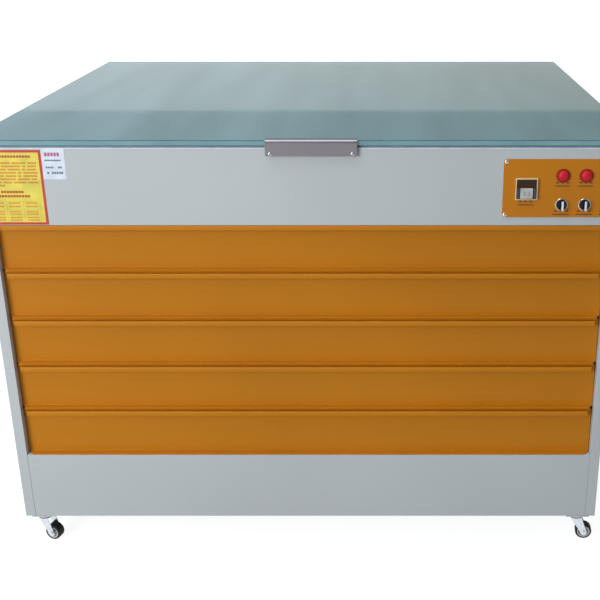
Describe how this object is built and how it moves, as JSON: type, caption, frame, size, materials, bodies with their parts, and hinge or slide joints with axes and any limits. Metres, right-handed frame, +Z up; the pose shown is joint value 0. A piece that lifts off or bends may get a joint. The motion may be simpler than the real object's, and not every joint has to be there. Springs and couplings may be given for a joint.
{
  "type": "screen drying cabinet",
  "caption": "Sheet-steel drying cabinet on swivel casters with pull-out drawers, a hinged glass top, a clip handle and a control plate on its fascia.",
  "frame": {"origin": "on the floor, below the middle of the whole object's box", "axes": "+X to the right seen from the front, +Y towards the back, +Z up; the drawers open towards -Y"},
  "size_m": [1.44, 1.225, 1.0075],
  "materials": {
    "grey_paint": "light grey powder coat, satin",
    "ochre_paint": "ochre powder coat, satin",
    "white_paint": "white enamel",
    "glass": "clear float glass with polished edges",
    "stainless": "brushed stainless",
    "zinc": "zinc plated",
    "galvanised": "galvanised",
    "bright_ring": "polished",
    "black_plastic": "moulded, matte",
    "dark_window": "smoked, glossy",
    "cream_plastic": "moulded, matte",
    "red_plastic": "translucent red",
    "grey_plastic": "moulded, matte",
    "rubber": "black rubber",
    "yellow_film": "printed film",
    "white_film": "printed film",
    "tube_glass": "white coated"
  },
  "bodies": {
    "cabinet": {"left_side_panel": "grey_paint", "right_side_panel": "grey_paint", "back_panel": "grey_paint", "base_pan": "grey_paint", "plinth_panel": "grey_paint", "front_fascia": "grey_paint", "light_tray": "white_paint", "light_tubes": "tube_glass", "lamp_holders": "grey_plastic", "glass_seal": "rubber", "left_runner_rack": "galvanised", "right_runner_rack": "galvanised", "air_floor": "galvanised", "heater_elements": "stainless", "fan_motor": "galvanised", "control_plate": "ochre_paint", "control_screws": "stainless", "controller_case": "cream_plastic", "controller_window": "dark_window", "pilot_lamp_1": "red_plastic", "pilot_lamp_2": "red_plastic", "pilot_lamp_3": "red_plastic", "selector_bodies": "bright_ring", "instruction_plate": "yellow_film", "rating_plate": "white_film", "cable_gland": "black_plastic", "hinge_cabinet_leaves": "zinc", "hinge_pins": "zinc", "caster_plates": "zinc"},
    "lid": {"glass_plate": "glass", "handle_clip": "stainless", "clip_jaw": "stainless", "clip_screws": "stainless", "hinge_lid_leaves": "zinc"},
    "fan": {"fan_impeller": "galvanised"},
    "drawer_1": {"drawer_front_1": "ochre_paint", "drawer_frame_1": "galvanised"},
    "drawer_2": {"drawer_front_2": "ochre_paint", "drawer_frame_2": "galvanised"},
    "drawer_3": {"drawer_front_3": "ochre_paint", "drawer_frame_3": "galvanised"},
    "drawer_4": {"drawer_front_4": "ochre_paint", "drawer_frame_4": "galvanised"},
    "drawer_5": {"drawer_front_5": "ochre_paint", "drawer_frame_5": "galvanised"},
    "knob_1": {"selector_knob_1": "black_plastic"},
    "knob_2": {"selector_knob_2": "black_plastic"},
    "knob_3": {"selector_knob_3": "black_plastic"},
    "caster_1": {"caster_fork_1": "zinc"},
    "wheel_1": {"caster_wheel_1": "grey_plastic", "caster_tyre_1": "rubber"},
    "caster_2": {"caster_fork_2": "zinc"},
    "wheel_2": {"caster_wheel_2": "grey_plastic", "caster_tyre_2": "rubber"},
    "caster_3": {"caster_fork_3": "zinc"},
    "wheel_3": {"caster_wheel_3": "grey_plastic", "caster_tyre_3": "rubber"},
    "caster_4": {"caster_fork_4": "zinc"},
    "wheel_4": {"caster_wheel_4": "grey_plastic", "caster_tyre_4": "rubber"}
  },
  "joints": [
    {"name": "lid_hinge", "type": "hinge", "parent": "cabinet", "child": "lid", "pos_m": [-0.01, 0.5985, 0.9865], "axis": [-1, 0, 0], "range_deg": [0, 100]},
    {"name": "fan_spin", "type": "hinge", "parent": "cabinet", "child": "fan", "pos_m": [-0.01, 0.0065, 0.171], "axis": [0, 0, 1], "continuous": true},
    {"name": "drawer_1_slide", "type": "slide", "parent": "cabinet", "child": "drawer_1", "axis": [0, -1, 0], "range_m": [0, 0.75]},
    {"name": "drawer_2_slide", "type": "slide", "parent": "cabinet", "child": "drawer_2", "axis": [0, -1, 0], "range_m": [0, 0.75]},
    {"name": "drawer_3_slide", "type": "slide", "parent": "cabinet", "child": "drawer_3", "axis": [0, -1, 0], "range_m": [0, 0.75]},
    {"name": "drawer_4_slide", "type": "slide", "parent": "cabinet", "child": "drawer_4", "axis": [0, -1, 0], "range_m": [0, 0.75]},
    {"name": "drawer_5_slide", "type": "slide", "parent": "cabinet", "child": "drawer_5", "axis": [0, -1, 0], "range_m": [0, 0.75]},
    {"name": "knob_1_turn", "type": "hinge", "parent": "cabinet", "child": "knob_1", "pos_m": [0.5574, -0.5955, 0.8647], "axis": [0, -1, 0], "range_deg": [-45, 45]},
    {"name": "knob_2_turn", "type": "hinge", "parent": "cabinet", "child": "knob_2", "pos_m": [0.6076, -0.5955, 0.8647], "axis": [0, -1, 0], "range_deg": [-45, 45]},
    {"name": "knob_3_turn", "type": "hinge", "parent": "cabinet", "child": "knob_3", "pos_m": [0.6578, -0.5955, 0.8647], "axis": [0, -1, 0], "range_deg": [-45, 45]},
    {"name": "caster_1_swivel", "type": "hinge", "parent": "cabinet", "child": "caster_1", "pos_m": [-0.668, -0.5725, 0.051], "axis": [0, 0, 1], "continuous": true},
    {"name": "wheel_1_roll", "type": "hinge", "parent": "caster_1", "child": "wheel_1", "pos_m": [-0.64898, -0.57868, 0.02], "axis": [0.309, 0.9511, 0], "continuous": true},
    {"name": "caster_2_swivel", "type": "hinge", "parent": "cabinet", "child": "caster_2", "pos_m": [0.648, -0.5725, 0.051], "axis": [0, 0, 1], "continuous": true},
    {"name": "wheel_2_roll", "type": "hinge", "parent": "caster_2", "child": "wheel_2", "pos_m": [0.66792, -0.57424, 0.02], "axis": [0.0872, 0.9962, 0], "continuous": true},
    {"name": "caster_3_swivel", "type": "hinge", "parent": "cabinet", "child": "caster_3", "pos_m": [-0.668, 0.5695, 0.051], "axis": [0, 0, 1], "continuous": true},
    {"name": "wheel_3_roll", "type": "hinge", "parent": "caster_3", "child": "wheel_3", "pos_m": [-0.68679, 0.56266, 0.02], "axis": [0.342, -0.9397, 0], "continuous": true},
    {"name": "caster_4_swivel", "type": "hinge", "parent": "cabinet", "child": "caster_4", "pos_m": [0.648, 0.5695, 0.051], "axis": [0, 0, 1], "continuous": true},
    {"name": "wheel_4_roll", "type": "hinge", "parent": "caster_4", "child": "wheel_4", "pos_m": [0.66679, 0.56266, 0.02], "axis": [0.342, 0.9397, 0], "continuous": true}
  ]
}
